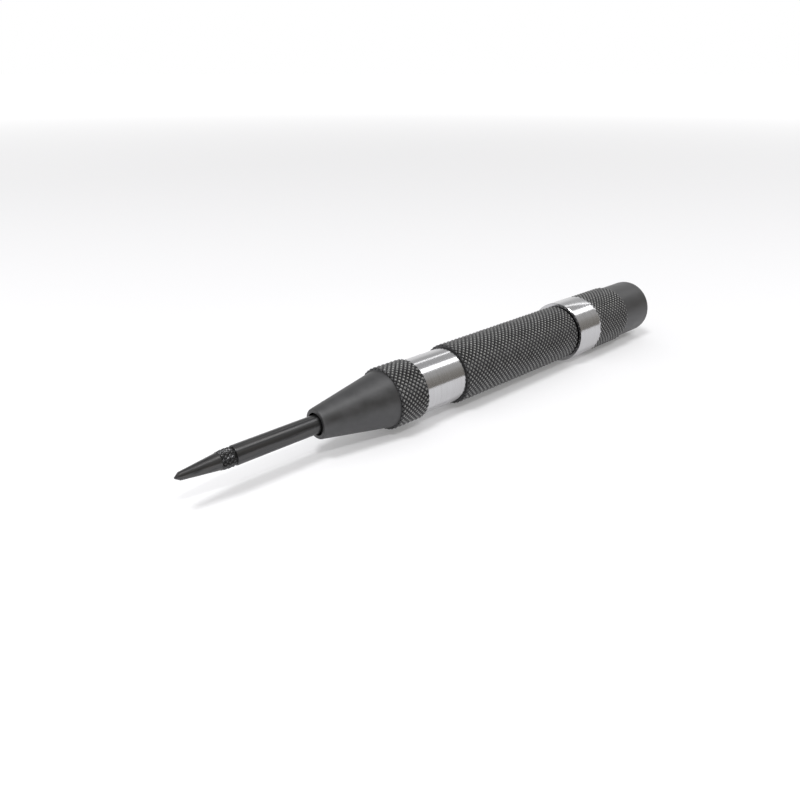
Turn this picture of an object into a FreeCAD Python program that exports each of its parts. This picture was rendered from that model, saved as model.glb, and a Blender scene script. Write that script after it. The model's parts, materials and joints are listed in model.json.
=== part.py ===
import FreeCAD, Part
import math
import os
from FreeCAD import Vector

# Automatic (spring-loaded) center punch, in millimetres.
# The tool lies on its side: its axis runs along X at the height of its largest radius,
# the point looks along -X, and the origin is under the middle of the tool.
# Stations are distances along the axis, counted from the sharp tip.

# running and seating clearances
running_gap = 0.05        # radial gap of every shaft, spigot and threaded seat
slide_gap = 0.06          # radial gap of the hammer and the spring seat in the bore
swing_gap = 0.1           # radial gap round the head of the trip pin, and before the hammer
face_gap = 0.05           # gap between end faces that only touch under load
press_gap = 0.01          # radial gap left in the solids where the bush is pressed in
flange_gap = 0.2          # radial gap round the flange of the plunger rod
mouth_gap = 0.4           # radial gap of the rod in the open mouth of the nose
needle_gap = 0.15         # radial gap of the trip pin's needle in the hammer
stem_gap = 0.1            # radial gap of the trip pin's stem in the throat of the bush
spring_gap = 0.2          # gap at the loose end of a spring
return_coil_gap = 0.275   # radial gap of the return spring in the nose
main_coil_gap = 0.3       # radial gap of the main spring in the tube

# punch point: a turned pin with a bevelled tip, a short knurl and a threaded stud
tip_flat_radius = 0.06
bevel_length = 0.85
bevel_radius = 0.7
taper_length = 7.55
taper_radius = 1.6
point_knurl_length = 1.9
point_knurl_radius = 1.65
stud_radius = 1.2
stud_length = 5.0

# plunger rod
rod_radius = 1.75
rod_showing = 16.6
rod_edge = 0.15
flange_length = 2.0
tail_length = 5.9
tail_radius = 2.4

bore_radius = 4.0         # of the tube and the cap: hammer, bush and main spring run in it

# nose: mouth, cone, knurled collar and the spigot that screws into the tube
mouth_radius = rod_radius + mouth_gap
mouth_depth = 2.0
nose_front_radius = mouth_radius + 0.7
nose_edge_radius = 0.35
cone_length = 15.5
cone_radius = 5.65
collar_length = 7.0
collar_radius = 6.2
collar_edge = 0.2
guide_length = 7.1
cavity_radius = 3.1
nose_spigot_length = 8.0
nose_spigot_radius = bore_radius + 0.5

# body tube: a bright front band and the knurled grip
front_band_length = 11.0
front_band_radius = 5.7
grip_length = 38.0
grip_radius = 6.35
grip_edge = 0.3

# adjusting cap: a bright band, a knurl, a plain end and the threaded spigot
cap_opening = 0.3
cap_band_length = 8.5
cap_band_radius = 7.05
cap_knurl_length = 11.8
cap_knurl_radius = 7.0
cap_end_length = 11.0
cap_end_radius = 6.55
cap_edge_radius = 0.4
cap_end_wall = 8.0
cap_spigot_radius = bore_radius + 0.9
cap_spigot_length = 8.7
cap_spigot_chamfer = 0.5
cap_run_in = 2.0

# trip mechanism
stroke = 8.0
trip_tilt = 2.0           # degrees that the trip pin leans over at rest
head_back = 1.0           # from the middle of the pin's ball head to its flat back
stem_radius = 1.6
needle_radius = 0.9
bush_flange_length = 1.5
funnel_length = 4.0
funnel_radius = 2.2
throat_length = 2.0
throat_radius = stem_radius + stem_gap
hammer_web = 1.6
hammer_hole_radius = needle_radius + needle_gap
hammer_hole_spare = 2.2
hammer_chamfer = 0.4
seat_length = 4.0
spring_pilot_length = 3.0
spring_pilot_gap = 0.2

# springs, whose round wire is drawn as an octagon of the same area
wire_sides = 8
return_wire = 0.45
return_coils = 7
return_mean_radius = cavity_radius - return_coil_gap - return_wire / 2
return_spare = 0.4
main_wire = 0.9
main_coils = 16
main_mean_radius = bore_radius - main_coil_gap - main_wire / 2

# stations of the outside, from the tip to the rear end
point_end = bevel_length + taper_length + point_knurl_length
nose_front = point_end + rod_showing
cone_end = nose_front + cone_length
tube_front = cone_end + collar_length
grip_front = tube_front + front_band_length
tube_rear = grip_front + grip_length
cap_front = tube_rear + cap_opening
cap_knurl_front = cap_front + cap_band_length
cap_end_front = cap_knurl_front + cap_knurl_length
overall_length = cap_end_front + cap_end_length
axis_height = max(cap_band_radius, cap_knurl_radius, cap_end_radius, grip_radius, collar_radius)

# stations of the mechanism, from the nose's guide bore to the rear of the cap's bore
cavity_front = nose_front + mouth_depth + guide_length
spigot_end = tube_front + nose_spigot_length
flange_front = cavity_front + face_gap
tail_end = flange_front + flange_length + tail_length
head_radius = cavity_radius - swing_gap
pivot = tail_end + face_gap + head_radius
head_rear = pivot + head_back
return_shut_length = (return_coils + 1) * return_wire + return_spare
bush_shoulder = head_rear + stroke + return_shut_length
throat_front = bush_shoulder + funnel_length
bush_end = throat_front + throat_length
stem_end = throat_front - stroke
hammer_front = bush_end + swing_gap
hammer_hole_depth = bush_end - stem_end + swing_gap + hammer_hole_spare
hammer_rear = hammer_front + hammer_hole_depth + hammer_web
cap_bore_end = overall_length - cap_end_wall
seat_front = cap_bore_end - face_gap - seat_length
cap_spigot_front = cap_front - cap_spigot_length
cap_seat_front = cap_spigot_front - cap_run_in
spring_pilot_radius = main_mean_radius - main_wire / 2 - spring_pilot_gap


def turned(outline):
    """A solid of revolution about the X axis from (station, radius) points."""
    corners = [Vector(station, 0, radius) for station, radius in outline]
    face = Part.Face(Part.makePolygon(corners + corners[:1]))
    return face.revolve(Vector(0, 0, 0), Vector(1, 0, 0), 360)


def plain_bore(start, end, radius):
    """The cylinder that cuts a bore between two stations."""
    return Part.makeCylinder(radius, end - start, Vector(start, 0, 0), Vector(1, 0, 0))


def round_edge(shape, station, radius, fillet):
    """Round the circular edge that lies at a station and a radius."""
    edges = [
        edge for edge in shape.Edges
        if isinstance(edge.Curve, Part.Circle)
        and abs(edge.Curve.Center.x - station) < 1e-6
        and abs(edge.Curve.Radius - radius) < 1e-6
    ]
    return shape.makeFillet(fillet, edges)


def wire_section(wire, mean_radius):
    """The octagon that has the area of the round wire, where the coil's helix starts."""
    step = 2 * math.pi / wire_sides
    corner_radius = wire / 2 * math.sqrt(step / math.sin(step))
    angles = [step * (side + 0.5) for side in range(wire_sides)]
    corners = [
        Vector(mean_radius + corner_radius * math.cos(a), 0, corner_radius * math.sin(a))
        for a in angles
    ]
    return Part.makePolygon(corners + corners[:1])


def coil(start, end, wire, mean_radius, turns):
    """A compression spring that fills the axis between two stations."""
    height = end - start - wire
    helix = Part.makeHelix(height / turns, height, mean_radius)
    section = wire_section(wire, mean_radius)
    spring = Part.Wire(helix).makePipeShell([section], True, True)
    spring.rotate(Vector(0, 0, 0), Vector(0, 1, 0), 90)
    spring.translate(Vector(start + wire / 2, 0, 0))
    return spring


def make_punch_point():
    knurl_front = bevel_length + taper_length
    return turned([
        (0, 0),
        (0, tip_flat_radius),
        (bevel_length, bevel_radius),
        (knurl_front, taper_radius),
        (knurl_front, point_knurl_radius),
        (point_end, point_knurl_radius),
        (point_end, stud_radius),
        (point_end + stud_length, stud_radius),
        (point_end + stud_length, 0),
    ])


def make_plunger_rod():
    flange_rear = flange_front + flange_length
    rod = turned([
        (point_end, 0),
        (point_end, rod_radius - rod_edge),
        (point_end + rod_edge, rod_radius),
        (flange_front, rod_radius),
        (flange_front, cavity_radius - flange_gap),
        (flange_rear, cavity_radius - flange_gap),
        (flange_rear, tail_radius),
        (tail_end, tail_radius),
        (tail_end, 0),
    ])
    socket_end = point_end + stud_length + face_gap
    return rod.cut(plain_bore(point_end, socket_end, stud_radius + running_gap))


def make_nose_cone():
    outside = turned([
        (nose_front, 0),
        (nose_front, nose_front_radius),
        (cone_end, cone_radius),
        (cone_end, collar_radius - collar_edge),
        (cone_end + collar_edge, collar_radius),
        (tube_front - collar_edge, collar_radius),
        (tube_front, collar_radius - collar_edge),
        (tube_front, nose_spigot_radius),
        (spigot_end, nose_spigot_radius),
        (spigot_end, 0),
    ])
    outside = round_edge(outside, nose_front, nose_front_radius, nose_edge_radius)
    mouth = plain_bore(nose_front, nose_front + mouth_depth, mouth_radius)
    guide = plain_bore(nose_front, cavity_front, rod_radius + running_gap)
    cavity = plain_bore(cavity_front, spigot_end, cavity_radius)
    return outside.cut([mouth, guide, cavity])


def make_body_tube():
    outside = turned([
        (tube_front, 0),
        (tube_front, front_band_radius),
        (grip_front, front_band_radius),
        (grip_front, grip_radius - grip_edge),
        (grip_front + grip_edge, grip_radius),
        (tube_rear - grip_edge, grip_radius),
        (tube_rear, grip_radius - grip_edge),
        (tube_rear, 0),
    ])
    front_seat = plain_bore(
        tube_front, spigot_end + bush_flange_length, nose_spigot_radius + running_gap
    )
    bore = plain_bore(tube_front, tube_rear, bore_radius)
    rear_seat = plain_bore(cap_seat_front, tube_rear, cap_spigot_radius + running_gap)
    return outside.cut([front_seat, bore, rear_seat])


def make_centering_bush():
    flange_end = spigot_end + bush_flange_length
    body_radius = bore_radius - press_gap
    return turned([
        (spigot_end, cavity_radius),
        (spigot_end, nose_spigot_radius),
        (flange_end, nose_spigot_radius),
        (flange_end, body_radius),
        (bush_end, body_radius),
        (bush_end, throat_radius),
        (throat_front, throat_radius),
        (bush_shoulder, funnel_radius),
        (bush_shoulder, cavity_radius),
    ])


def make_trip_pin():
    """The ball-headed pin, straight on the axis first, then leaned over about its head."""
    pole = Vector(pivot - head_radius, 0, 0)
    crown = Vector(pivot, 0, head_radius)
    back = Vector(head_rear, 0, math.sqrt(head_radius ** 2 - head_back ** 2))
    stem = [
        back,
        Vector(head_rear, 0, stem_radius),
        Vector(stem_end, 0, stem_radius),
        Vector(stem_end, 0, needle_radius),
        Vector(bush_end, 0, needle_radius),
        Vector(bush_end, 0, 0),
        pole,
    ]
    ball = Part.Arc(pole, crown, back).toShape()
    outline = Part.Wire([ball] + Part.makePolygon(stem).Edges)
    pin = Part.Face(outline).revolve(Vector(0, 0, 0), Vector(1, 0, 0), 360)
    pin.rotate(Vector(pivot, 0, 0), Vector(0, 1, 0), -trip_tilt)
    return pin


def make_hammer():
    radius = bore_radius - slide_gap
    body = turned([
        (hammer_front, 0),
        (hammer_front, radius - hammer_chamfer),
        (hammer_front + hammer_chamfer, radius),
        (hammer_rear, radius),
        (hammer_rear, spring_pilot_radius),
        (hammer_rear + spring_pilot_length, spring_pilot_radius),
        (hammer_rear + spring_pilot_length, 0),
    ])
    hole_end = hammer_front + hammer_hole_depth
    return body.cut(plain_bore(hammer_front, hole_end, hammer_hole_radius))


def make_spring_seat():
    radius = bore_radius - slide_gap
    return turned([
        (seat_front - spring_pilot_length, 0),
        (seat_front - spring_pilot_length, spring_pilot_radius),
        (seat_front, spring_pilot_radius),
        (seat_front, radius),
        (seat_front + seat_length, radius),
        (seat_front + seat_length, 0),
    ])


def make_adjusting_cap():
    outside = turned([
        (cap_spigot_front, 0),
        (cap_spigot_front, cap_spigot_radius - cap_spigot_chamfer),
        (cap_spigot_front + cap_spigot_chamfer, cap_spigot_radius),
        (cap_front, cap_spigot_radius),
        (cap_front, cap_band_radius),
        (cap_knurl_front, cap_band_radius),
        (cap_knurl_front, cap_knurl_radius),
        (cap_end_front, cap_knurl_radius),
        (cap_end_front, cap_end_radius),
        (overall_length, cap_end_radius),
        (overall_length, 0),
    ])
    outside = round_edge(outside, overall_length, cap_end_radius, cap_edge_radius)
    return outside.cut(plain_bore(cap_spigot_front, cap_bore_end, bore_radius))


def make_return_spring():
    end = bush_shoulder - face_gap
    return coil(head_rear + spring_gap, end, return_wire, return_mean_radius, return_coils)


def make_main_spring():
    return coil(
        hammer_rear + face_gap, seat_front - face_gap, main_wire, main_mean_radius, main_coils
    )


makers = {
    "punch_point": make_punch_point,
    "plunger_rod": make_plunger_rod,
    "nose_cone": make_nose_cone,
    "body_tube": make_body_tube,
    "centering_bush": make_centering_bush,
    "trip_pin": make_trip_pin,
    "return_spring": make_return_spring,
    "hammer": make_hammer,
    "main_spring": make_main_spring,
    "spring_seat": make_spring_seat,
    "adjusting_cap": make_adjusting_cap,
}

os.makedirs("parts", exist_ok=True)
for node, make in makers.items():
    shape = make()
    shape.translate(Vector(-overall_length / 2, 0, axis_height))
    shape.exportStep("parts/" + node + ".step")
    print(node, "valid" if shape.isValid() else "INVALID", round(shape.Volume, 1), "mm3")
print("overall length", overall_length, "axis height", axis_height)
print("trip pin pivot at x", round(pivot - overall_length / 2, 4))
spring_ends = [round(s - overall_length / 2, 4) for s in (bush_shoulder, hammer_rear, seat_front)]
print("spring ends at x", spring_ends)
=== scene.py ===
import json
import math

import bpy
import numpy as np
from mathutils import Euler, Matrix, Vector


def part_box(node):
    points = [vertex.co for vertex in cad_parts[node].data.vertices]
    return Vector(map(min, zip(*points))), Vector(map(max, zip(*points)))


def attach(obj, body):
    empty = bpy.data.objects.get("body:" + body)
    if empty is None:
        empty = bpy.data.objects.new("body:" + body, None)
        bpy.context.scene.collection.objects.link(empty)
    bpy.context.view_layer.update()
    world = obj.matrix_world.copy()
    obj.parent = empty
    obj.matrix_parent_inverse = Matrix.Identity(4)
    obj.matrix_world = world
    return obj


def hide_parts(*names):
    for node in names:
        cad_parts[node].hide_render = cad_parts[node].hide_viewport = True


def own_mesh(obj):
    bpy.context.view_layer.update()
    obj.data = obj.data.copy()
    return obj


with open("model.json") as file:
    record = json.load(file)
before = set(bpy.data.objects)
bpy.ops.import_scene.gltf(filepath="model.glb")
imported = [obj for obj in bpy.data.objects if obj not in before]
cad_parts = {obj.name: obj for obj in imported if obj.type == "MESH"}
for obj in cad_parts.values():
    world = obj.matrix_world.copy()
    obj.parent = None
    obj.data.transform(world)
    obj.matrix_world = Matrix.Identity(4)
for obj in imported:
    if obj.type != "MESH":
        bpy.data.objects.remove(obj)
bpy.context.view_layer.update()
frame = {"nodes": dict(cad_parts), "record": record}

mm = 0.001


# Places are read off the frame, in metres. The tool lies along X with its point at the low end.

def nodeSpan(node):
    # the lowest and the highest x of a node
    low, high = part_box(node)
    return low.x, high.x


axisHeight = sum(corner.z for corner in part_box("body_tube")) / 2
tipX, studEndX = nodeSpan("punch_point")
pointEndX, rodTailX = nodeSpan("plunger_rod")
noseFrontX, spigotEndX = nodeSpan("nose_cone")
tubeFrontX, tubeRearX = nodeSpan("body_tube")
capSpigotX, rearX = nodeSpan("adjusting_cap")
print("frame read: tool", round((rearX - tipX) / mm, 1), "mm long")


# Every turned piece is a set of stretches: grids of x and radius with a row for each ring, and beside
# them crest (how high a spot is, 0 deep to 1 high, painted as shade when deep and as wear with a glint
# when high), bright (cut bare) and rough (flat-shaded rows).
surfaceLook = {"arcSteps": 5, "creaseDegrees": 28, "tieShare": 0.01, "closedBelow": 1e-9}


def roundedOutline(corners, steps=surfaceLook["arcSteps"]):
    # corners are (x, radius, rounding): each sharp corner becomes an arc tangent to its two sides,
    # whose centre lies on the bisector at rounding / sin(half angle) from the corner
    points = []
    last = len(corners) - 1
    for i, (x, r, rounding) in enumerate(corners):
        here = np.array([x, r])
        if rounding <= 0 or i in (0, last):
            points.append(here[None])
            continue
        before = np.array(corners[i - 1][:2]) - here
        after = np.array(corners[i + 1][:2]) - here
        u, v = before / np.linalg.norm(before), after / np.linalg.norm(after)
        half = math.acos(np.clip(u @ v, -1, 1)) / 2
        cut = rounding / math.tan(half)
        bisector = (u + v) / np.linalg.norm(u + v)
        centre = here + bisector * rounding / math.sin(half)
        start, end = here + u * cut - centre, here + v * cut - centre
        t = np.linspace(0, 1, steps)[:, None]
        arc = start * (1 - t) + end * t
        points.append(centre + arc / np.linalg.norm(arc, axis=1, keepdims=True) * rounding)
    return np.vstack(points)


def ringSurface(name, x, radius, bright, crest, rough, closed=False, look=surfaceLook):
    # a point of the surface is (x, radius * cos(angle), axis height + radius * sin(angle)).
    # A ring of no radius closes to one vertex, and a closed outline joins its last ring to its first
    rings, columns = radius.shape
    angle = np.linspace(0, 2 * math.pi, columns, endpoint=False)[None, :]
    verts = np.stack([x + 0 * angle, radius * np.cos(angle), axisHeight + radius * np.sin(angle)], -1)
    index = np.arange(rings * columns).reshape(rings, columns)
    index = np.where(radius.max(axis=1, keepdims=True) < look["closedBelow"], index[:, :1], index)
    rows = np.arange(rings if closed else rings - 1)
    nextRow, column = (rows + 1) % rings, np.arange(columns)
    nextColumn = (column + 1) % columns
    a, b = index[rows][:, column], index[rows][:, nextColumn]
    d, c = index[nextRow][:, column], index[nextRow][:, nextColumn]

    # each cell is cut along the diagonal whose ends are most alike in radius, so creases stay sharp,
    # and a small share of the radii themselves settles a tie for the lower diagonal
    heights = radius.ravel()
    alongAC = np.abs(heights[a] - heights[c]) + look["tieShare"] * (heights[a] + heights[c])
    alongBD = np.abs(heights[b] - heights[d]) + look["tieShare"] * (heights[b] + heights[d])
    pick = (alongAC <= alongBD)[..., None]
    first = np.where(pick, np.stack([a, b, c], -1), np.stack([a, b, d], -1))
    second = np.where(pick, np.stack([a, c, d], -1), np.stack([b, c, d], -1))
    tris = np.concatenate([first.reshape(-1, 3), second.reshape(-1, 3)])
    flatCells = np.broadcast_to(rough[rows][:, None], a.shape)
    flat = np.concatenate([flatCells.ravel(), flatCells.ravel()])
    whole = (tris[:, 0] != tris[:, 1]) & (tris[:, 1] != tris[:, 2]) & (tris[:, 2] != tris[:, 0])
    tris, flat = tris[whole], flat[whole]

    # a triangle is bright steel, the second material, where all of its corners are bright
    finish = (bright.ravel()[tris].min(axis=1) > 0.5).astype(np.int32)
    used, tris = np.unique(tris, return_inverse=True)
    mesh = bpy.data.meshes.new(name)
    mesh.from_pydata(verts.reshape(-1, 3)[used], [], tris.reshape(-1, 3))
    mesh.polygons.foreach_set("use_smooth", ~flat)
    mesh.polygons.foreach_set("material_index", finish)
    layer = mesh.attributes.new("crest", "FLOAT", "POINT")
    layer.data.foreach_set("value", crest.ravel()[used].astype(np.float32))
    mesh.set_sharp_from_angle(angle=math.radians(look["creaseDegrees"]))
    mesh.update()
    obj = bpy.data.objects.new(name, mesh)
    bpy.context.collection.objects.link(obj)
    return obj


def turnedPiece(name, stretches, closed=False):
    # the stretches follow each other along one outline, which is turned round the axis
    grids = {key: np.concatenate([stretch[key] for stretch in stretches]) for key in stretches[0]}
    return ringSurface(name, closed=closed, **grids)


def plainRings(corners, columns, bright=0.0, crest=0.5):
    # a turned stretch: every ring is round, so each row of the grids holds one value
    points = roundedOutline(corners)
    full = np.ones((len(points), columns))
    return {
        "x": points[:, :1] * full, "radius": points[:, 1:] * full,
        "bright": bright * full, "crest": crest * full, "rough": np.zeros(len(points), bool),
    }


def triangleWave(phase):
    # twice the distance from the nearest whole number: 0 at whole numbers and 1 halfway between
    return 2 * np.abs(phase - np.floor(phase + 0.5))


# Two waves twist opposite ways round the tool and make a knurl's depth uneven: how many of each go
# round it, and how many millimetres along it turn each by one radian. The rest is how the rows of
# rings end, and how worn the tops on the end bevels are beside the others.
knurlLook = {"waves": (3, 5), "waveMm": (2.1, 3.4), "lastRowGap": 0.2, "bevelWear": 0.7}


def knurlHeight(x, columns, starts, period, startX):
    # two families of V grooves cross at 45 degrees: along each, height rises in a straight line from 0 in
    # the groove to 1 halfway between grooves, and the lower of the two families gives the diamond pyramids
    turn = np.arange(columns)[None, :] / columns * starts
    along = (x - startX) / period
    return 1 - np.maximum(triangleWave(turn + along), triangleWave(turn - along))


def knurledRings(look, startX, endX, columns, tops=None):
    # rings on the grid of half diamonds over the steps of look: radius is the top less depth * (1 - height).
    # The tops are cut flat at flatFrom, and bevels of 45 degrees at both ends carry the same grooves
    # down to knurlFoot. tops gives the top's radius at x where it isn't the crest radius all along
    period = 2 * math.pi * look["crestRadius"] * mm / look["starts"]
    spacing = period / 2 / look["steps"]
    x = np.append(np.arange(startX, endX - knurlLook["lastRowGap"] * spacing, spacing), endX)[:, None]
    height = np.minimum(knurlHeight(x, columns, look["starts"], period, startX) / look["flatFrom"], 1)
    turn = np.arange(columns)[None, :] / columns * 2 * math.pi
    wave, waveMm = knurlLook["waves"], knurlLook["waveMm"]
    wobble = np.sin(wave[0] * turn + x / (waveMm[0] * mm)) * np.sin(wave[1] * turn - x / (waveMm[1] * mm))
    top = look["crestRadius"] * mm if tops is None else tops(x)
    fromEnds = np.minimum(x - startX - look["bevel"] * mm, endX - x - look["rearBevel"] * mm)
    ends = fromEnds + look["crestRadius"] * mm
    radius = np.minimum(top, ends) - look["depth"] * mm * (1 + look["uneven"] * wobble) * (1 - height)
    return {
        "x": x + 0 * radius, "radius": radius, "bright": 0 * radius,
        "crest": np.where(ends < top, knurlLook["bevelWear"] * height, height),
        "rough": np.ones(len(x), bool),
    }


def knurlFoot(look, bevel="bevel"):
    # the radius that lies just under the deepest groove at the end of a knurl
    return (look["crestRadius"] - look[bevel] - (1 + look["uneven"]) * look["depth"]) * mm


# A thread's shape: its valley is 1 over a narrow flat root, falls along sloping sides and is 0 over
# the flat crest.
threadLook = {"rowsPerPitch": 8, "steepness": 1.6, "crestFlat": 0.4, "crestWear": 0.7, "rootShade": 0.2}


def threadedRings(startX, endX, crestRadius, depth, pitch, columns, look=threadLook):
    # a right-hand V thread: radius falls from crest to root and back once a pitch, and the phase
    # goes once round with the angle; the thread fades in over its first pitch and out over its last
    x = np.linspace(startX, endX, int((endX - startX) / pitch * look["rowsPerPitch"]) + 2)[:, None]
    phase = x / pitch - np.arange(columns)[None, :] / columns
    valley = np.clip(look["steepness"] * (1 - triangleWave(phase)) - look["crestFlat"], 0, 1)
    fade = np.clip(np.minimum(x - startX, endX - x) / pitch, 0, 1)
    full = np.ones((len(x), columns))
    return {
        "x": x * full, "radius": crestRadius - depth * valley * fade, "bright": 0 * full,
        # the roots are painted darker as shade, the crests keep the coat
        "crest": look["crestWear"] - (look["crestWear"] - look["rootShade"]) * valley,
        "rough": np.zeros(len(x), bool),
    }


# Colours and node trees. Nearly all values of a noise lie between the two of noiseRange.
noiseRange = {"From Min": 0.3, "From Max": 0.7}


def toLinear(hexColour):
    # sRGB to linear: divide by 12.92 near black, and a 2.4 power of the offset value above that
    parts = [int(hexColour[i:i + 2], 16) / 255 for i in (1, 3, 5)]
    return tuple(c / 12.92 if c <= 0.04045 else ((c + 0.055) / 1.055) ** 2.4 for c in parts) + (1.0,)


def perMetre(sizeMm):
    # the Scale of a texture whose features are this size in millimetres
    return 1000 / sizeMm


def addNode(tree, kind, values=None, sources=None, **settings):
    # a node with its settings, the values of its sockets and the outputs that feed them
    node = tree.nodes.new(kind)
    for key, value in settings.items():
        setattr(node, key, value)
    for socket, value in (values or {}).items():
        node.inputs[socket].default_value = value
    for socket, output in (sources or {}).items():
        tree.links.new(output, node.inputs[socket])
    return node


def setRamp(node, stops):
    # stops are (position, hex colour)
    ramp = node.color_ramp
    while len(ramp.elements) < len(stops):
        ramp.elements.new(0.5)
    for element, (position, colour) in zip(ramp.elements, stops):
        element.position = position
        element.color = toLinear(colour)
    return node


def newMaterial(name, preview):
    # an empty tree with its shader, and the object's own coordinates
    material = bpy.data.materials.new(name)
    material.use_nodes = True
    material.diffuse_color = toLinear(preview)
    tree = material.node_tree
    tree.nodes.clear()
    shader = addNode(tree, "ShaderNodeBsdfPrincipled")
    addNode(tree, "ShaderNodeOutputMaterial", sources={"Surface": shader.outputs[0]})
    place = addNode(tree, "ShaderNodeTexCoord").outputs["Object"]
    return material, tree, shader, place


def drawnNoise(tree, place, alongMm, roundMm, detail=3.0):
    # noise stretched to marks of one size along the tool and another across it
    stretch = (perMetre(alongMm), perMetre(roundMm), perMetre(roundMm))
    drawn = addNode(tree, "ShaderNodeMapping", {"Scale": stretch}, {"Vector": place})
    noise = addNode(tree, "ShaderNodeTexNoise", {"Scale": 1.0, "Detail": detail},
                    {"Vector": drawn.outputs[0]})
    return noise.outputs["Fac"]


# Black oxide on turned steel: a hot chemical blackening, oiled. Charcoal with a soft satin sheen, grey
# on knurl tops (wear and a painted glint), painted shade near black in grooves and bores, faintly blotched.
blackOxideLook = {
    "grooveShade": "#19191a", "coat": "#565657", "wornTopAndGlint": "#a2a2a0", "metallic": 0.9, "speckle": 0.35,
    "grooveTo": 0.1, "coatFrom": 0.4, "coatTo": 0.72, "wornTopAndGlintFrom": 1.0,
    "blotchMm": 2.6, "blotchDetail": 4.0, "grainMm": 0.25, "grainDetail": 2.0, "shadeLow": 0.88,
    "shadeHigh": 1.14, "roughLow": 0.42, "roughHigh": 0.54,
    "turningMm": 0.16, "turningLengthMm": 9.0, "turningHeightMm": 0.004, "turningStrength": 0.35,
}


def blackOxideSteel(name="blackOxideSteel", look=blackOxideLook):
    material, tree, shader, place = newMaterial(name, look["coat"])
    crest = addNode(tree, "ShaderNodeAttribute", attribute_name="crest").outputs["Fac"]
    blotch = addNode(tree, "ShaderNodeTexNoise",
                     {"Scale": perMetre(look["blotchMm"]), "Detail": look["blotchDetail"]},
                     {"Vector": place}).outputs["Fac"]
    grain = addNode(tree, "ShaderNodeTexNoise",
                    {"Scale": perMetre(look["grainMm"]), "Detail": look["grainDetail"]},
                    {"Vector": place}).outputs["Fac"]
    # how high a spot is in the knurl, moved up and down by the grain: painted shade low, wear and a painted
    # glint high
    centred = addNode(tree, "ShaderNodeMath", {1: -0.5}, {0: grain}, operation="ADD").outputs[0]
    shadeWearAndGlint = addNode(tree, "ShaderNodeMath", {1: look["speckle"]}, {0: centred, 2: crest},
                   operation="MULTIPLY_ADD").outputs[0]
    # the ramp: painted shade in grooves and bores, then the coat, then grey worn tops with a painted glint
    colour = setRamp(addNode(tree, "ShaderNodeValToRGB", sources={"Fac": shadeWearAndGlint}),
                     [(look["grooveTo"], look["grooveShade"]), (look["coatFrom"], look["coat"]),
                      (look["coatTo"], look["coat"]), (look["wornTopAndGlintFrom"], look["wornTopAndGlint"])])
    shade = addNode(tree, "ShaderNodeMapRange",
                    {**noiseRange, "To Min": look["shadeLow"], "To Max": look["shadeHigh"]},
                    {"Value": blotch}).outputs["Result"]
    shaded = addNode(tree, "ShaderNodeVectorMath", sources={0: colour.outputs["Color"], 1: shade},
                     operation="MULTIPLY")
    tree.links.new(shaded.outputs[0], shader.inputs["Base Color"])
    rough = addNode(tree, "ShaderNodeMapRange",
                    {**noiseRange, "To Min": look["roughLow"], "To Max": look["roughHigh"]},
                    {"Value": blotch}).outputs["Result"]
    tree.links.new(rough, shader.inputs["Roughness"])
    # faint rings left by the lathe
    rings = drawnNoise(tree, place, look["turningMm"], look["turningLengthMm"], look["grainDetail"])
    bump = addNode(tree, "ShaderNodeBump",
                   {"Strength": look["turningStrength"], "Distance": look["turningHeightMm"] * mm},
                   {"Height": rings})
    tree.links.new(bump.outputs[0], shader.inputs["Normal"])
    shader.inputs["Metallic"].default_value = look["metallic"]
    return material


# Bright turned steel, cut after blackening and polished with a fine cloth: mirror-like along the
# tool, with fine rings round it that blur what it mirrors.
brightSteelLook = {
    "metal": "#bfbfc1", "ringDark": "#b4b3b4", "darkTo": 0.3, "metalFrom": 0.62, "roughness": 0.16,
    "ringMm": 0.09, "smearMm": 14.0, "ringHeightMm": 0.0006, "ringStrength": 0.4,
}


def brightTurnedSteel(name="brightTurnedSteel", look=brightSteelLook):
    material, tree, shader, place = newMaterial(name, look["metal"])
    rings = drawnNoise(tree, place, look["ringMm"], look["smearMm"])
    colour = setRamp(addNode(tree, "ShaderNodeValToRGB", sources={"Fac": rings}),
                     [(look["darkTo"], look["ringDark"]), (look["metalFrom"], look["metal"])])
    tree.links.new(colour.outputs["Color"], shader.inputs["Base Color"])
    bump = addNode(tree, "ShaderNodeBump",
                   {"Strength": look["ringStrength"], "Distance": look["ringHeightMm"] * mm},
                   {"Height": rings})
    tree.links.new(bump.outputs[0], shader.inputs["Normal"])
    shader.inputs["Metallic"].default_value = 1.0
    shader.inputs["Roughness"].default_value = look["roughness"]
    return material


# Hardened tool steel, blackened and ground smooth: nearly black, shinier than the body's coating,
# with fine streaks along it, greyer where the coating has rubbed off, and painted shade in knurl grooves.
blackenedToolLook = {
    "grooveShade": "#2b2b2c", "coat": "#4c4c4d", "rubbed": "#545352", "metallic": 0.92, "roughness": 0.3,
    "grooveTo": 0.45, "coatAt": 0.75, "rubbedFrom": 1.0, "crestShare": 0.6,
    "streakMm": 0.35, "lengthMm": 12.0, "streakHeightMm": 0.002, "streakStrength": 0.4,
}


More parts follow.
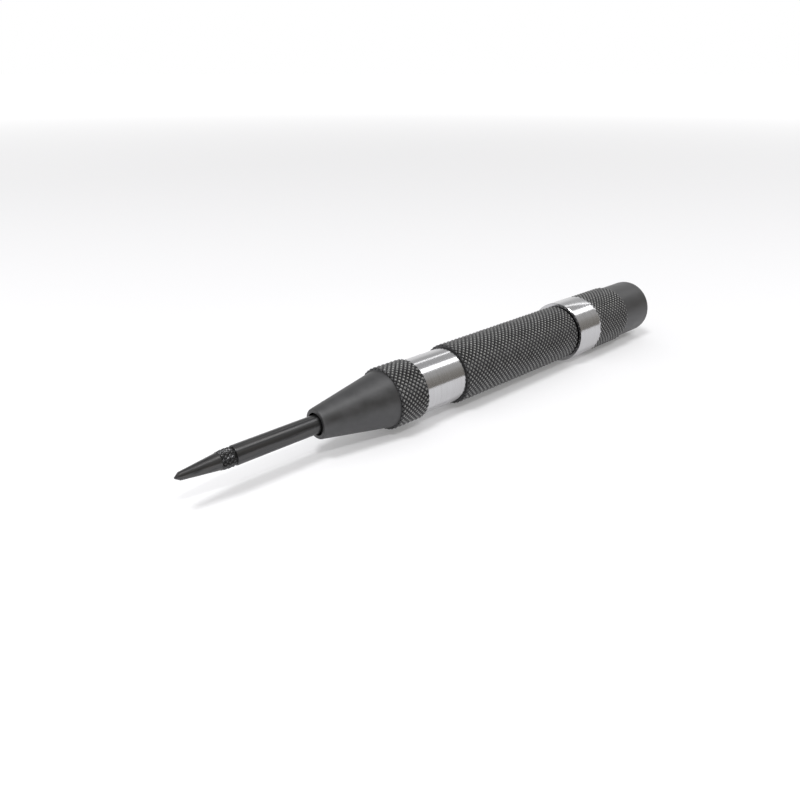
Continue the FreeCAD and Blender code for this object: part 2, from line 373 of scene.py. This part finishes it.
def blackenedToolSteel(name="blackenedToolSteel", look=blackenedToolLook):
    material, tree, shader, place = newMaterial(name, look["coat"])
    # streaks drawn out along the tool, where it was polished and where it slides in the nose
    streak = drawnNoise(tree, place, look["lengthMm"], look["streakMm"])
    crest = addNode(tree, "ShaderNodeAttribute", attribute_name="crest").outputs["Fac"]
    rubbing = addNode(tree, "ShaderNodeMath", {1: look["crestShare"]}, {0: crest, 2: streak},
                      operation="MULTIPLY_ADD").outputs[0]
    # the ramp: painted shade in the point's knurl grooves and on its stud, then the coat, then rubbed grey
    colour = setRamp(addNode(tree, "ShaderNodeValToRGB", sources={"Fac": rubbing}),
                     [(look["grooveTo"], look["grooveShade"]), (look["coatAt"], look["coat"]),
                      (look["rubbedFrom"], look["rubbed"])])
    tree.links.new(colour.outputs["Color"], shader.inputs["Base Color"])
    bump = addNode(tree, "ShaderNodeBump",
                   {"Strength": look["streakStrength"], "Distance": look["streakHeightMm"] * mm},
                   {"Height": streak})
    tree.links.new(bump.outputs[0], shader.inputs["Normal"])
    shader.inputs["Metallic"].default_value = look["metallic"]
    shader.inputs["Roughness"].default_value = look["roughness"]
    return material


# Ground steel for the parts inside, and drawn spring wire: the same bare metal, lighter where it
# was ground and browner where it was oiled and drawn.
bareSteelLooks = {
    "groundSteel": {"light": "#bfbdb8", "dark": "#98958f", "ringMm": 0.12, "roughness": 0.24},
    "drawnSpringWire": {"light": "#8f8a82", "dark": "#6d675f", "ringMm": 0.3, "roughness": 0.32},
}
bareSteelMarks = {"smearMm": 5.0, "darkTo": 0.3, "lightFrom": 0.65}


def bareSteel(name, marks=bareSteelMarks):
    look = bareSteelLooks[name]
    material, tree, shader, place = newMaterial(name, look["light"])
    rings = drawnNoise(tree, place, look["ringMm"], marks["smearMm"])
    colour = setRamp(addNode(tree, "ShaderNodeValToRGB", sources={"Fac": rings}),
                     [(marks["darkTo"], look["dark"]), (marks["lightFrom"], look["light"])])
    tree.links.new(colour.outputs["Color"], shader.inputs["Base Color"])
    shader.inputs["Metallic"].default_value = 1.0
    shader.inputs["Roughness"].default_value = look["roughness"]
    return material


blackOxide = blackOxideSteel()
brightSteel = brightTurnedSteel()
toolSteel = blackenedToolSteel()
groundSteel = bareSteel("groundSteel")
springWire = bareSteel("drawnSpringWire")
print("materials made")


# Punch point: a long taper with a bevelled tip, a short knurl to turn it by, a neck and a stud.
# All sizes of pieces are in millimetres.
pointLook = {
    "tipFlat": 0.1, "tipRounding": 0.05, "bevelLength": 0.85, "bevelRadius": 0.7, "bevelRounding": 0.1,
    "taperEnd": 8.4, "taperRadius": 1.6, "knurlStart": 7.6, "knurlRise": 0.1, "crestRadius": 1.72,
    "starts": 13, "steps": 3, "depth": 0.16, "flatFrom": 0.75, "bevel": 0.12, "rearBevel": 0.12,
    "uneven": 0.35, "knurlWear": 0.55, "neckRadius": 1.5, "neckLength": 0.25, "neckRounding": 0.03,
    "studRadius": 1.2, "studRounding": 0.15,
}


def makePoint(look=pointLook):
    columns = look["starts"] * 2 * look["steps"]
    taperX, taperRadius = tipX + look["taperEnd"] * mm, look["taperRadius"] * mm
    bevelX, bevelRadius = tipX + look["bevelLength"] * mm, look["bevelRadius"] * mm
    slope = (taperRadius - bevelRadius) / (taperX - bevelX)
    knurlStart, knurlEnd = tipX + look["knurlStart"] * mm, pointEndX - look["neckLength"] * mm
    startRadius = taperRadius + slope * (knurlStart - taperX)
    neckRadius, studRadius = look["neckRadius"] * mm, look["studRadius"] * mm
    neckRounding = look["neckRounding"] * mm

    def tops(x):
        # the taper carried on, a little proud, up to the crest radius
        taper = startRadius + slope * (x - knurlStart) + look["knurlRise"] * mm
        return np.minimum(taper, look["crestRadius"] * mm)

    nose = [(tipX, 0, 0), (tipX, look["tipFlat"] * mm, look["tipRounding"] * mm),
            (bevelX, bevelRadius, look["bevelRounding"] * mm), (knurlStart, startRadius, 0)]
    stud = [(knurlEnd, neckRadius, 0), (pointEndX, neckRadius, neckRounding),
            (pointEndX, studRadius, neckRounding), (studEndX, studRadius, look["studRounding"] * mm),
            (studEndX, 0, 0)]
    knurl = knurledRings(look, knurlStart, knurlEnd, columns, tops)
    knurl["crest"] = look["knurlWear"] * knurl["crest"]
    # the stud, seated in the rod's socket, gets the painted shade of the grooves
    point = turnedPiece("point", [plainRings(nose, columns), knurl, plainRings(stud, columns, crest=0.0)])
    point.data.materials.append(toolSteel)
    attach(point, "plunger")
    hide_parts("punch_point")
    return point


# Plunger rod: a ground shaft with a socket for the point's stud, a flange for its spring and a tail.
rodLook = {
    "radius": 1.75, "frontRounding": 0.15, "socketRadius": 1.25, "socketRounding": 0.05, "socketGap": 0.05,
    "flangeRadius": 2.9, "flangeLength": 2.0, "flangeRounding": 0.1, "tailLength": 5.9, "tailRadius": 2.4,
    "tailRounding": 0.2, "columns": 128,
}


def makeRod(look=rodLook):
    # one outline of straight lines and rounded corners, turned round the axis
    flangeEnd = rodTailX - look["tailLength"] * mm
    flangeStart = flangeEnd - look["flangeLength"] * mm
    socketEnd = studEndX + look["socketGap"] * mm
    radius, socketRadius = look["radius"] * mm, look["socketRadius"] * mm
    flangeRadius, tailRadius = look["flangeRadius"] * mm, look["tailRadius"] * mm
    socketRounding, flangeRounding = look["socketRounding"] * mm, look["flangeRounding"] * mm
    outline = [
        (socketEnd, 0, 0), (socketEnd, socketRadius, socketRounding),
        (pointEndX, socketRadius, socketRounding), (pointEndX, radius, look["frontRounding"] * mm),
        (flangeStart, radius, flangeRounding), (flangeStart, flangeRadius, flangeRounding),
        (flangeEnd, flangeRadius, flangeRounding), (flangeEnd, tailRadius, flangeRounding),
        (rodTailX, tailRadius, look["tailRounding"] * mm), (rodTailX, 0, 0),
    ]
    rod = turnedPiece("rod", [plainRings(outline, look["columns"])])
    rod.data.materials.append(toolSteel)
    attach(rod, "plunger")
    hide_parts("plunger_rod")
    return rod


# Nose: mouth, cone, knurled collar and threaded spigot, hollow for the rod and its spring.
noseLook = {
    "mouthRadius": 2.15, "mouthDepth": 2.0, "frontRadius": 2.85, "frontRounding": 0.35, "lipRounding": 0.18,
    "coneLength": 15.5, "coneRadius": 5.65, "coneRounding": 0.06, "crestRadius": 6.2, "starts": 36,
    "steps": 4, "depth": 0.18, "flatFrom": 0.72, "bevel": 0.2, "rearBevel": 0.12, "uneven": 0.08,
    "guideLength": 7.1,
    "guideRadius": 1.8, "guideRounding": 0.05, "cavityRadius": 3.1, "cavityRounding": 0.1,
    "spigotRadius": 4.5, "threadDepth": 0.28, "threadPitch": 0.75, "backShade": 0.3, "insideShade": 0.15,
}


def makeNose(look=noseLook):
    # the outline runs back over the outside, round the spigot's end and forward through the bore
    columns = look["starts"] * 2 * look["steps"]
    coneEnd = noseFrontX + look["coneLength"] * mm
    mouthX = noseFrontX + look["mouthDepth"] * mm
    cavityX = noseFrontX + (look["mouthDepth"] + look["guideLength"]) * mm
    mouthRadius, guideRadius = look["mouthRadius"] * mm, look["guideRadius"] * mm
    cavityRadius, spigotRadius = look["cavityRadius"] * mm, look["spigotRadius"] * mm
    guideRounding = look["guideRounding"] * mm
    front = [(noseFrontX, mouthRadius, 0), (noseFrontX, look["frontRadius"] * mm, look["frontRounding"] * mm),
             (coneEnd, look["coneRadius"] * mm, look["coneRounding"] * mm), (coneEnd, knurlFoot(look), 0)]
    back = [(tubeFrontX, knurlFoot(look, "rearBevel"), 0), (tubeFrontX, spigotRadius, 0)]
    inside = [(spigotEndX, spigotRadius, 0), (spigotEndX, cavityRadius, look["cavityRounding"] * mm),
              (cavityX, cavityRadius, guideRounding), (cavityX, guideRadius, guideRounding),
              (mouthX, guideRadius, guideRounding), (mouthX, mouthRadius, guideRounding),
              (noseFrontX + look["lipRounding"] * mm, mouthRadius, 0)]
    nose = turnedPiece("nose", [
        plainRings(front, columns),
        knurledRings(look, coneEnd, tubeFrontX, columns),
        # the collar's back face, against the tube, is painted darker as shade
        plainRings(back, columns, crest=look["backShade"]),
        threadedRings(tubeFrontX, spigotEndX, spigotRadius, look["threadDepth"] * mm,
                      look["threadPitch"] * mm, columns),
        # the bore is painted near black as shade
        plainRings(inside, columns, crest=look["insideShade"]),
    ], closed=True)
    nose.data.materials.append(blackOxide)
    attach(nose, "housing")
    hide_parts("nose_cone")
    return nose


# Body tube: a bright band, an undercut and the knurled grip, bored through with a seat at each end.
tubeLook = {
    "bandRadius": 5.7, "bandLength": 11.0, "bandEdge": 0.08, "undercut": 0.1, "undercutLength": 0.12,
    "crestRadius": 6.35, "starts": 35, "steps": 4, "depth": 0.16, "flatFrom": 0.72, "bevel": 0.18,
    "rearBevel": 0.06, "uneven": 0.08, "seatRadius": 4.55, "seatDepth": 9.5, "boreRadius": 4.0,
    "rearSeatRadius": 4.95, "rearSeatDepth": 10.2, "seatRounding": 0.1, "lip": 0.1, "shoulderWear": 0.45,
    "insideShade": 0.1,
}


def makeTube(look=tubeLook):
    # the outline runs back over the outside and forward through the bore
    columns = look["starts"] * 2 * look["steps"]
    gripX = tubeFrontX + look["bandLength"] * mm
    undercutX = gripX - look["undercutLength"] * mm
    rearSeatX = tubeRearX - look["rearSeatDepth"] * mm
    seatX = tubeFrontX + look["seatDepth"] * mm
    bandRadius, seatRadius = look["bandRadius"] * mm, look["seatRadius"] * mm
    undercutRadius = bandRadius - look["undercut"] * mm
    boreRadius, rearSeatRadius = look["boreRadius"] * mm, look["rearSeatRadius"] * mm
    bandEdge, seatRounding = look["bandEdge"] * mm, look["seatRounding"] * mm
    frontFace = [(tubeFrontX, seatRadius, 0), (tubeFrontX, bandRadius - bandEdge, 0)]
    band = [(tubeFrontX, bandRadius - bandEdge, 0), (tubeFrontX + bandEdge, bandRadius, 0),
            (undercutX, bandRadius, 0)]
    shoulder = [(undercutX, undercutRadius, 0), (gripX, undercutRadius, 0), (gripX, knurlFoot(look), 0)]
    inside = [(tubeRearX, knurlFoot(look, "rearBevel"), 0), (tubeRearX, rearSeatRadius, seatRounding),
              (rearSeatX, rearSeatRadius, seatRounding), (rearSeatX, boreRadius, seatRounding),
              (seatX, boreRadius, seatRounding), (seatX, seatRadius, seatRounding),
              (tubeFrontX + look["lip"] * mm, seatRadius, 0)]
    tube = turnedPiece("tube", [
        plainRings(frontFace, columns), plainRings(band, columns, bright=1.0),
        plainRings(shoulder, columns, crest=look["shoulderWear"]),
        knurledRings(look, gripX, tubeRearX, columns),
        # the bore and seats are painted near black as shade
        plainRings(inside, columns, crest=look["insideShade"]),
    ], closed=True)
    tube.data.materials.append(blackOxide)
    tube.data.materials.append(brightSteel)
    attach(tube, "housing")
    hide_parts("body_tube")
    return tube


# Adjusting cap: a threaded spigot, a bright band, a knurl that starts raggedly, and a plain end.
# The ragged edge wavers round the cap by the sum of waves of (size, number round the cap, phase).
capLook = {
    "boreRadius": 4.0, "boreRounding": 0.1, "endWall": 8.0, "spigotRadius": 4.9, "spigotLength": 8.7,
    "threadDepth": 0.4, "threadPitch": 1.0, "bandRadius": 7.05, "bandLength": 8.5, "bandEdge": 0.1,
    "crestRadius": 7.0, "starts": 39, "steps": 4, "depth": 0.15, "flatFrom": 0.7, "bevel": 0.0,
    "rearBevel": 0.05, "uneven": 0.1, "knurlLength": 11.8, "ragged": 1.5, "grooveRate": 2,
    "waves": ((0.12, 4, 1), (0.1, 11, 0), (0.08, 23, 2)), "brightFrom": 0.15, "brightFade": 1.5,
    "brightLead": 0.25, "brightEnd": 0.98, "stepLength": 0.12, "stepRounding": 0.05, "endRadius": 6.55,
    "edgeRounding": 0.55, "insideShade": 0.1,
}


def makeCap(look=capLook):
    # the outline starts at the bottom of the bore and runs forward in it, then back over the outside
    columns = look["starts"] * 2 * look["steps"]
    boreEndX = rearX - look["endWall"] * mm
    frontX = capSpigotX + look["spigotLength"] * mm
    knurlX = frontX + look["bandLength"] * mm
    plainX = knurlX + look["knurlLength"] * mm
    raggedX = knurlX - look["ragged"] / 2 * mm
    crestRadius, bandRadius = look["crestRadius"] * mm, look["bandRadius"] * mm
    bandEdge = look["bandEdge"] * mm
    boreRadius, boreRounding = look["boreRadius"] * mm, look["boreRounding"] * mm
    spigotRadius, endRadius = look["spigotRadius"] * mm, look["endRadius"] * mm
    bore = [(boreEndX, 0, 0), (boreEndX, boreRadius, boreRounding), (capSpigotX, boreRadius, boreRounding),
            (capSpigotX, spigotRadius, 0)]
    face = [(frontX, spigotRadius, 0), (frontX, bandRadius - bandEdge, 0)]
    band = [(frontX, bandRadius - bandEdge, 0), (frontX + bandEdge, bandRadius, 0), (raggedX, bandRadius, 0)]
    rear = [(plainX, knurlFoot(look, "rearBevel"), 0),
            (plainX + look["stepLength"] * mm, endRadius, look["stepRounding"] * mm),
            (rearX, endRadius, look["edgeRounding"] * mm), (rearX, 0, 0)]

    # the band runs out over the first diamonds: grooves deepen with distance, and tops stay bright a while
    knurl = knurledRings(look, raggedX, plainX, columns)
    into = np.clip((knurl["x"] - raggedX) / (look["ragged"] * mm), 0, 1)
    grooves = (crestRadius - knurl["radius"]) * np.minimum(1, look["grooveRate"] * into)
    knurl["radius"] = bandRadius * (1 - into) + crestRadius * into - grooves
    angle = np.linspace(0, 2 * math.pi, columns, endpoint=False)[None, :]
    waver = sum(size * np.sin(count * angle + phase) for size, count, phase in look["waves"])
    brightAbove = look["brightFrom"] + look["brightFade"] * (into + waver - look["brightLead"])
    knurl["bright"] = ((knurl["crest"] > brightAbove) & (into < look["brightEnd"])).astype(float)

    cap = turnedPiece("cap", [
        # the bore is painted near black as shade
        plainRings(bore, columns, crest=look["insideShade"]),
        threadedRings(capSpigotX, frontX, spigotRadius, look["threadDepth"] * mm,
                      look["threadPitch"] * mm, columns),
        plainRings(face, columns, bright=1.0), plainRings(band, columns, bright=1.0), knurl,
        plainRings(rear, columns),
    ])
    cap.data.materials.append(blackOxide)
    cap.data.materials.append(brightSteel)
    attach(cap, "cap")
    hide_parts("adjusting_cap")
    return cap


# Springs. frontGap leaves room at the front end for the seat's travel, which carries the whole spring.
springLooks = {
    "returnSpring": {"node": "return_spring", "wire": 0.45, "meanRadius": 2.6, "turns": 7, "frontGap": 0,
                     "body": "housing", "joint": "plunger_slide", "slot": "spring_steel"},
    "mainSpring": {"node": "main_spring", "wire": 0.9, "meanRadius": 3.25, "turns": 16, "frontGap": 0.2,
                   "body": "seat", "joint": "hammer_slide", "slot": "spring_steel"},
}
coilLook = {"sides": 14, "stepsPerTurn": 40, "closedPitch": 1.02}


def jointTravel(name):
    # how far a slide goes from rest to its upper limit, in metres
    joint = next(j for j in frame["record"]["behaviour"]["joints"] if j["name"] == name)
    return joint["range_m"][1]


def makeSpring(name, coil=coilLook):
    # a round wire of radius w on a helix: the centre goes (x(t), R cos t, R sin t), where x rises slowly
    # over the first and last turn, which lie closed, and evenly between them
    look = springLooks[name]
    low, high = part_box(look["node"])
    startX, endX = low.x + look["frontGap"] * mm, high.x
    wire, mean, turns = look["wire"] * mm / 2, look["meanRadius"] * mm, look["turns"] + 2
    sides, stroke = coil["sides"], jointTravel(look["joint"])
    t = np.linspace(0, 2 * math.pi * turns, turns * coil["stepsPerTurn"] + 1)[:, None]
    turn = t / (2 * math.pi)
    closedRise = 2 * wire * coil["closedPitch"]
    openRise = (endX - startX - 2 * wire - 2 * closedRise) / (turns - 2)
    closedTurns = np.clip(turn, 0, 1) + np.clip(turn - turns + 1, 0, 1)
    x = startX + wire + closedRise * closedTurns + openRise * np.clip(turn - 1, 0, turns - 2)
    around = np.linspace(0, 2 * math.pi, sides, endpoint=False)[None, :]
    r = mean + wire * np.cos(around)
    verts = np.stack([x + wire * np.sin(around), r * np.cos(t), axisHeight + r * np.sin(t)], -1)
    rows, column = np.arange(len(t) - 1)[:, None], np.arange(sides)[None, :]
    following = (column + 1) % sides
    quads = np.stack([rows * sides + column, rows * sides + following,
                      (rows + 1) * sides + following, (rows + 1) * sides + column], -1).reshape(-1, 4)
    ends = [list(range(sides))[::-1], list(range((len(t) - 1) * sides, len(t) * sides))]
    mesh = bpy.data.meshes.new(name)
    mesh.from_pydata(verts.reshape(-1, 3), [], quads.tolist() + ends)
    mesh.polygons.foreach_set("use_smooth", np.append(np.ones(len(quads), bool), [False, False]))
    mesh.update()
    spring = bpy.data.objects.new(name, mesh)
    bpy.context.collection.objects.link(spring)
    spring.data.materials.append(springWire)
    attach(spring, look["body"])
    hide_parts(look["node"])
    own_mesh(spring)
    return spring


makePoint()
makeRod()
makeNose()
makeTube()
makeCap()
for springName in springLooks:
    makeSpring(springName)
for innerNode in ("trip_pin", "centering_bush", "hammer", "spring_seat"):
    frame["nodes"][innerNode].data.materials.clear()
    frame["nodes"][innerNode].data.materials.append(groundSteel)


# Matt white paper under the tool and as far as the eye sees. It glows a little, and more with the
# distance from the tool, in metres, so that it stays white where the lights don't reach.
floorLook = {"paper": "#e8e8ea", "size": 400.0, "glow": 0.18, "farGlow": 0.6, "glowFrom": 0.1, "glowTo": 1.5}


def makeFloor(look=floorLook):
    # one flat square with its middle under the tool
    half = look["size"] / 2
    corners = [(-half, -half, 0), (half, -half, 0), (half, half, 0), (-half, half, 0)]
    mesh = bpy.data.meshes.new("floor")
    mesh.from_pydata(corners, [], [(0, 1, 2, 3)])
    floor = bpy.data.objects.new("floor", mesh)
    bpy.context.collection.objects.link(floor)
    material, tree, shader, place = newMaterial("mattWhitePaper", look["paper"])
    shader.inputs["Base Color"].default_value = toLinear(look["paper"])
    shader.inputs["Roughness"].default_value = 1.0
    shader.inputs["Specular IOR Level"].default_value = 0.0
    distance = addNode(tree, "ShaderNodeVectorMath", sources={0: place}, operation="LENGTH").outputs["Value"]
    glow = addNode(tree, "ShaderNodeMapRange",
                   {"From Min": look["glowFrom"], "From Max": look["glowTo"],
                    "To Min": look["glow"], "To Max": look["farGlow"]},
                   {"Value": distance}).outputs["Result"]
    shader.inputs["Emission Color"].default_value = (1, 1, 1, 1)
    tree.links.new(glow, shader.inputs["Emission Strength"])
    mesh.materials.append(material)


# Softboxes. Each stands at an angle above the front horizon and a distance from the line on the floor
# under the tool, and reaches along the tool from one x to another; sizes in metres, power in watts.
# mirrored says whether shiny steel shows it, and lightsMatt whether it lights matt surfaces and throws
# shadows on them.
boxLooks = {
    "boxAlong": {"above": 77, "away": 0.7, "wide": 0.24, "from": 0.0, "to": 1.3, "power": 2.6,
                 "mirrored": True, "lightsMatt": False},
    "boxAbove": {"above": 83, "away": 0.7, "wide": 0.18, "from": -0.4, "to": -0.22, "power": 2.6,
                 "mirrored": True, "lightsMatt": True},
    "boxBehind": {"above": 123, "away": 0.7, "wide": 0.15, "from": 0.2, "to": 1.3, "power": 1.15,
                  "mirrored": True, "lightsMatt": False},
    "boxFront": {"above": 54, "away": 0.78, "wide": 0.2, "from": -0.31, "to": -0.11, "power": 4.5,
                 "mirrored": False, "lightsMatt": True},
}


def makeBoxes():
    # a box stands at (middle x, -away * cos(angle), away * sin(angle)) and faces the line under the tool
    for name, look in boxLooks.items():
        angle = math.radians(look["above"])
        light = bpy.data.lights.new(name, "AREA")
        light.shape, light.size, light.size_y = "RECTANGLE", look["to"] - look["from"], look["wide"]
        light.energy = look["power"]
        box = bpy.data.objects.new(name, light)
        box.location = ((look["from"] + look["to"]) / 2, -look["away"] * math.cos(angle),
                        look["away"] * math.sin(angle))
        box.rotation_euler = Euler((angle - math.pi / 2, 0, 0))
        box.visible_glossy = look["mirrored"]
        box.visible_diffuse = look["lightsMatt"]
        bpy.context.collection.objects.link(box)


# The pale room: (share of the half circle from the front horizon over the top to the back one, colour)
roomLook = [(0.0, "#928e88"), (0.05, "#938f89"), (0.18, "#a9a6a1"), (0.27, "#c6c5c3"), (0.5, "#cacaca"),
            (0.8, "#cecece"), (0.9, "#ffffff")]


def makeRoom(look=roomLook):
    # the angle of a direction round the tool is atan2(z, -y), and below the horizon it mirrors
    world = bpy.data.worlds.new("paleRoom")
    world.use_nodes = True
    tree = world.node_tree
    tree.nodes.clear()
    direction = addNode(tree, "ShaderNodeTexCoord").outputs["Generated"]
    parts = addNode(tree, "ShaderNodeSeparateXYZ", sources={"Vector": direction})
    front = addNode(tree, "ShaderNodeMath", {1: -1.0}, {0: parts.outputs["Y"]},
                    operation="MULTIPLY").outputs[0]
    angle = addNode(tree, "ShaderNodeMath", sources={0: parts.outputs["Z"], 1: front},
                    operation="ARCTAN2").outputs[0]
    above = addNode(tree, "ShaderNodeMath", sources={0: angle}, operation="ABSOLUTE").outputs[0]
    share = addNode(tree, "ShaderNodeMath", {1: math.pi}, {0: above}, operation="DIVIDE").outputs[0]
    colour = setRamp(addNode(tree, "ShaderNodeValToRGB", sources={"Fac": share}), look)
    background = addNode(tree, "ShaderNodeBackground", {"Strength": 1.0}, {"Color": colour.outputs["Color"]})
    addNode(tree, "ShaderNodeOutputWorld", sources={"Surface": background.outputs[0]})
    bpy.context.scene.world = world


# The camera stands in front of the point, to the left of the tool and above it, in millimetres.
# heading is the way it looks, from +X towards +Y, and dip is how far it looks down, in degrees.
cameraLook = {"place": (-102.5, -91.2, 63.1), "heading": 47.07, "dip": 24.88, "lens": 31.5, "sensor": 36,
              "nearest": 5}


def makeCamera(look=cameraLook):
    camera = bpy.data.cameras.new("camera")
    camera.lens, camera.sensor_width, camera.clip_start = look["lens"], look["sensor"], look["nearest"] * mm
    holder = bpy.data.objects.new("camera", camera)
    holder.location = [value * mm for value in look["place"]]
    holder.rotation_euler = Euler((math.radians(90 - look["dip"]), 0, math.radians(look["heading"] - 90)))
    bpy.context.collection.objects.link(holder)
    bpy.context.scene.camera = holder


makeFloor()
makeBoxes()
makeRoom()
makeCamera()
bpy.context.scene.view_settings.view_transform = "Standard"
print("stage set")
